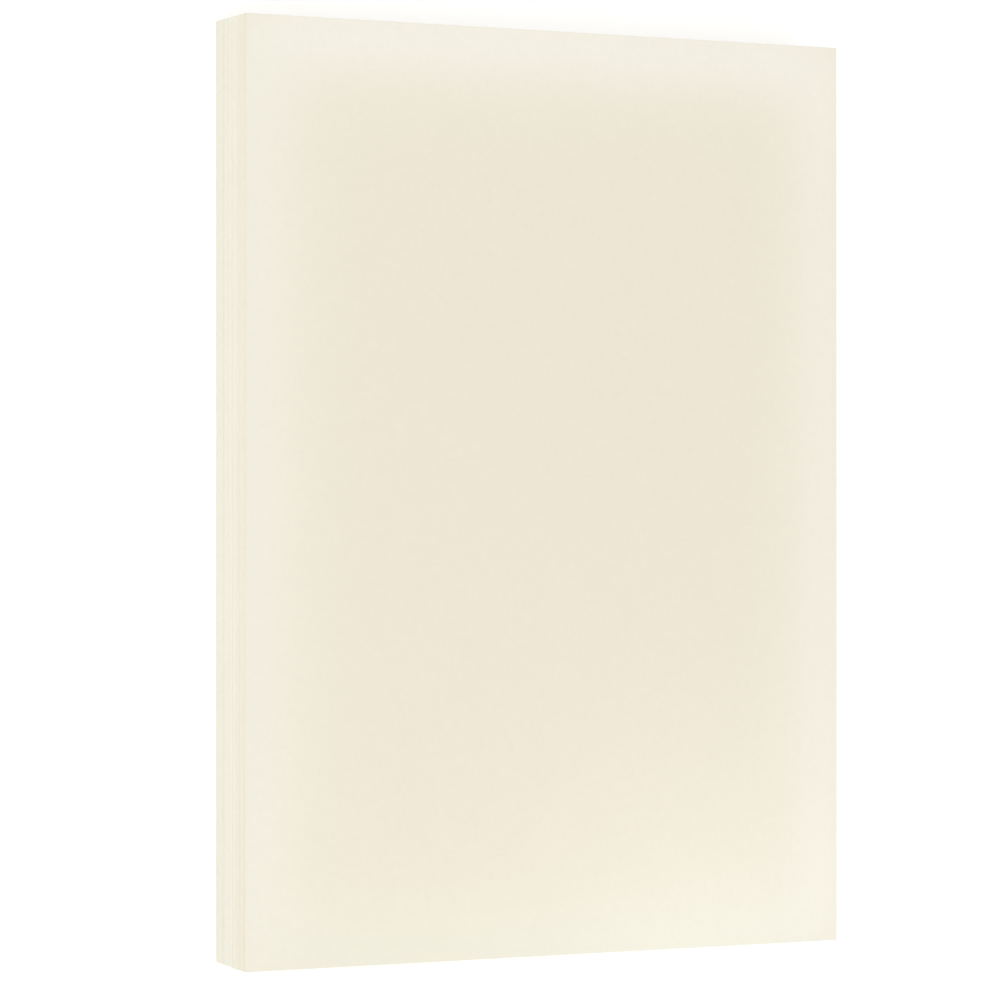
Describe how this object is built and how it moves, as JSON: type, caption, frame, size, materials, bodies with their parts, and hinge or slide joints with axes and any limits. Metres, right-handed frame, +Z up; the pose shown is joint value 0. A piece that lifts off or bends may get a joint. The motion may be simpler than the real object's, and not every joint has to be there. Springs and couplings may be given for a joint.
{
  "type": "pack of bristol card stock",
  "caption": "Loose pack of plain ivory A4 bristol card, its sheets squared up into one flat block.",
  "frame": {"origin": "under the middle of the pack, on the face that it rests on", "axes": "+X across the sheets, +Y along their length, +Z up through the stack"},
  "size_m": [0.2102, 0.2975, 0.026],
  "materials": {
    "card": "uncoated, smooth vellum bristol, matt"
  },
  "bodies": {
    "root": {"bottom_sheet": "card", "inner_sheets_01": "card", "inner_sheets_02": "card", "inner_sheets_03": "card", "inner_sheets_04": "card", "inner_sheets_05": "card", "inner_sheets_06": "card", "inner_sheets_07": "card", "inner_sheets_08": "card", "inner_sheets_09": "card", "inner_sheets_10": "card", "inner_sheets_11": "card", "inner_sheets_12": "card", "inner_sheets_13": "card", "inner_sheets_14": "card", "inner_sheets_15": "card", "inner_sheets_16": "card", "inner_sheets_17": "card", "inner_sheets_18": "card", "inner_sheets_19": "card", "inner_sheets_20": "card", "inner_sheets_21": "card", "inner_sheets_22": "card", "inner_sheets_23": "card", "inner_sheets_24": "card", "inner_sheets_25": "card", "inner_sheets_26": "card", "inner_sheets_27": "card", "inner_sheets_28": "card", "inner_sheets_29": "card", "inner_sheets_30": "card", "inner_sheets_31": "card", "inner_sheets_32": "card", "inner_sheets_33": "card", "inner_sheets_34": "card", "inner_sheets_35": "card", "inner_sheets_36": "card", "inner_sheets_37": "card", "inner_sheets_38": "card", "inner_sheets_39": "card", "inner_sheets_40": "card", "inner_sheets_41": "card", "inner_sheets_42": "card", "inner_sheets_43": "card", "inner_sheets_44": "card", "inner_sheets_45": "card", "inner_sheets_46": "card", "inner_sheets_47": "card", "inner_sheets_48": "card", "inner_sheets_49": "card", "top_sheet": "card"}
  },
  "joints": []
}
